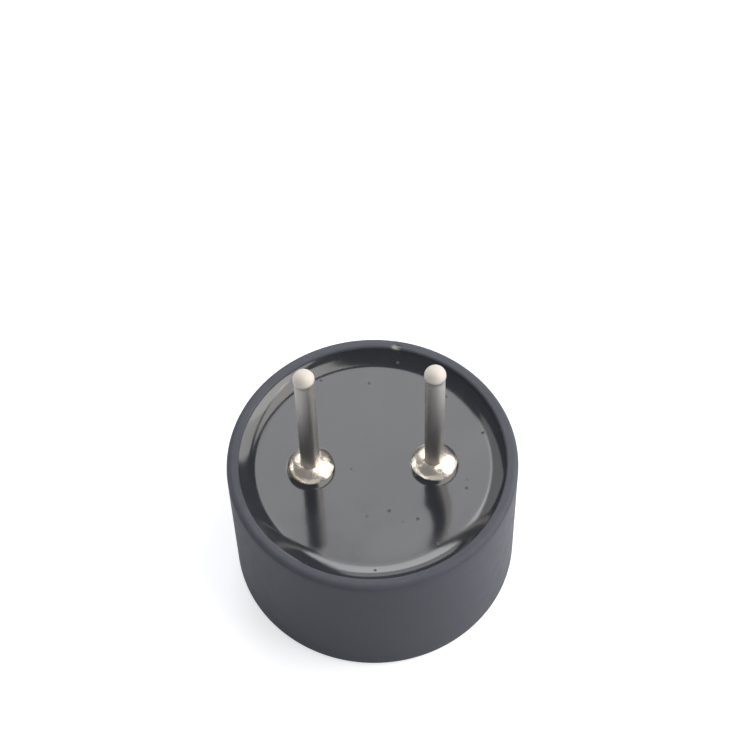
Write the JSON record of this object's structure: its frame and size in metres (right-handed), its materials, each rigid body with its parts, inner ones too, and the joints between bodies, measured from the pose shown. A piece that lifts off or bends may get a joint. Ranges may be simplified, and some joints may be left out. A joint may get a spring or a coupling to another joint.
{
  "type": "piezo buzzer",
  "caption": "Round black self-driven piezo buzzer: a moulded cup with a sound hole in its face, potted with glossy resin at the back, and straight tinned pins for a circuit board.",
  "frame": {"origin": "centre of the sound face, which the buzzer stands on as pictured", "axes": "+Z along the case's axis towards the pins' tips, +X from the axis towards the positive pin"},
  "size_m": [0.012, 0.012, 0.0135],
  "materials": {
    "case_plastic": "fine moulded grain, blue-black",
    "resin": "cured glossy black epoxy",
    "tinned_pin": "bright tinned wire",
    "solder": "bright solder",
    "brass_plate": "rolled brass",
    "silvered_ceramic": "fired silver on ceramic",
    "bonding_rubber": "cured silicone",
    "board_laminate": "glass epoxy laminate",
    "package_plastic": "moulded package",
    "chip_ceramic": "glazed chip",
    "copper_lead": "lacquered copper wire"
  },
  "bodies": {
    "root": {"case": "case_plastic", "diaphragm": "brass_plate", "piezo_disc": "silvered_ceramic", "bonding_ring": "bonding_rubber", "base_board": "board_laminate", "potting_resin": "resin", "transistor": "package_plastic", "positive_pin": "tinned_pin", "negative_pin": "tinned_pin", "positive_solder": "solder", "negative_solder": "solder", "load_resistor": "chip_ceramic", "bias_resistor": "chip_ceramic", "feedback_resistor": "chip_ceramic", "drive_lead": "copper_lead", "drive_board_joint": "solder", "drive_disc_joint": "solder", "feedback_lead": "copper_lead", "feedback_board_joint": "solder", "feedback_disc_joint": "solder", "plate_lead": "copper_lead", "plate_board_joint": "solder", "plate_disc_joint": "solder"}
  },
  "joints": []
}
